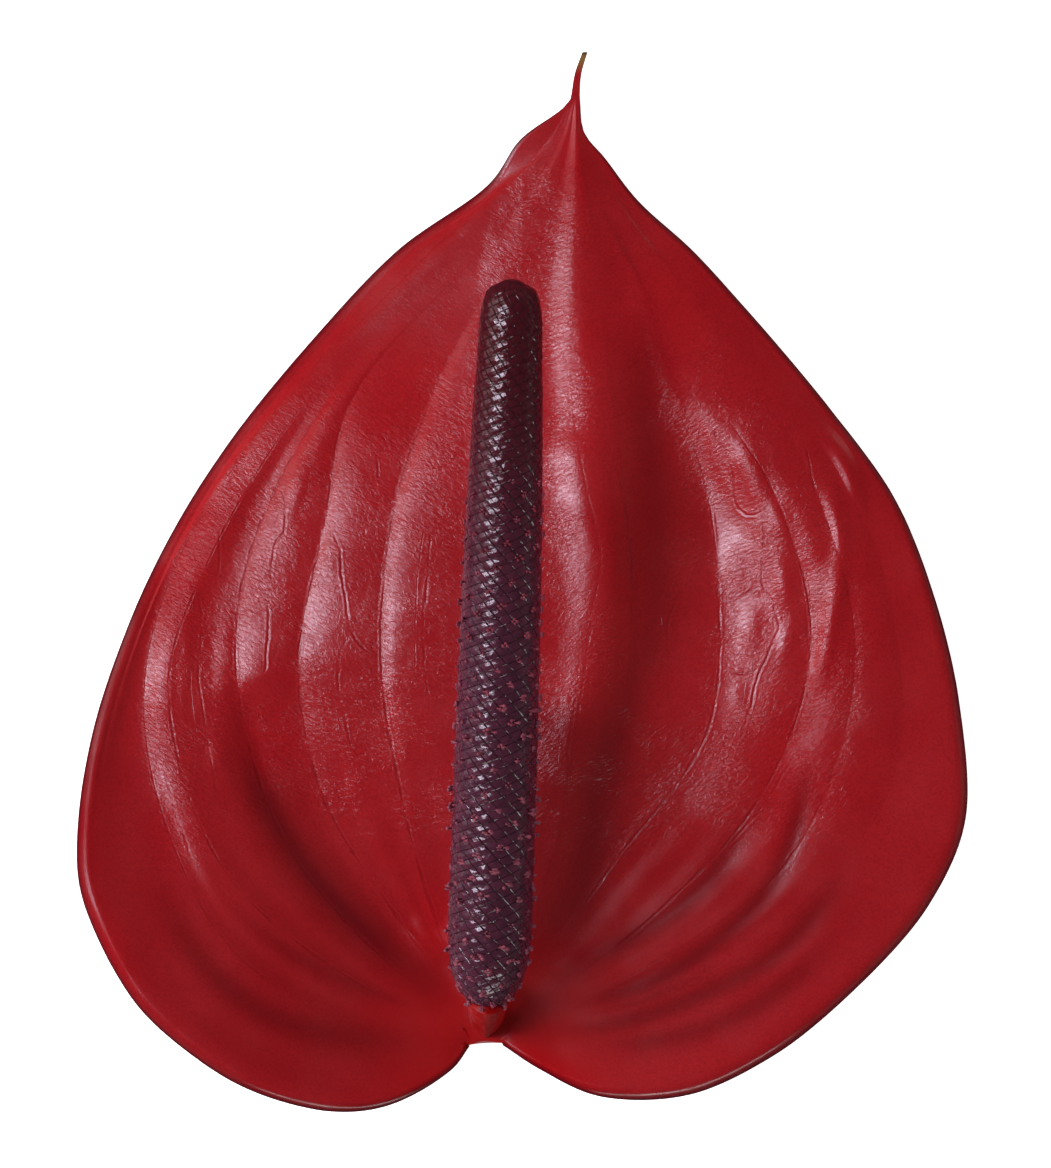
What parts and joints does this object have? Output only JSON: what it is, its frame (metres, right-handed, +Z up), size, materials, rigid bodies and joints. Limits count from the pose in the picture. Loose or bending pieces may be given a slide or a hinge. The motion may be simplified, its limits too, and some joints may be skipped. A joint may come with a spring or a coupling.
{
  "type": "anthurium flower head",
  "caption": "Cut flower head lying on its back: heart-shaped waxy spathe with sunken veins and a thin tail, and a slim floret-covered spadix on a short stem stub.",
  "frame": {"origin": "on the surface that the flower head lies on, below the middle of its outer box", "axes": "+Z up, with the face of the spathe looking up; +Y towards the tip of the spathe; +X to the right of its face"},
  "size_m": [0.1156, 0.137, 0.0274],
  "materials": {
    "spathe": "waxy, half-gloss, deep red",
    "spadix": "glossy dark purple florets with pink anthers",
    "peduncle": "smooth, glossy bright red"
  },
  "bodies": {
    "root": {"spathe": "spathe", "spadix": "spadix", "peduncle": "peduncle"}
  },
  "joints": []
}
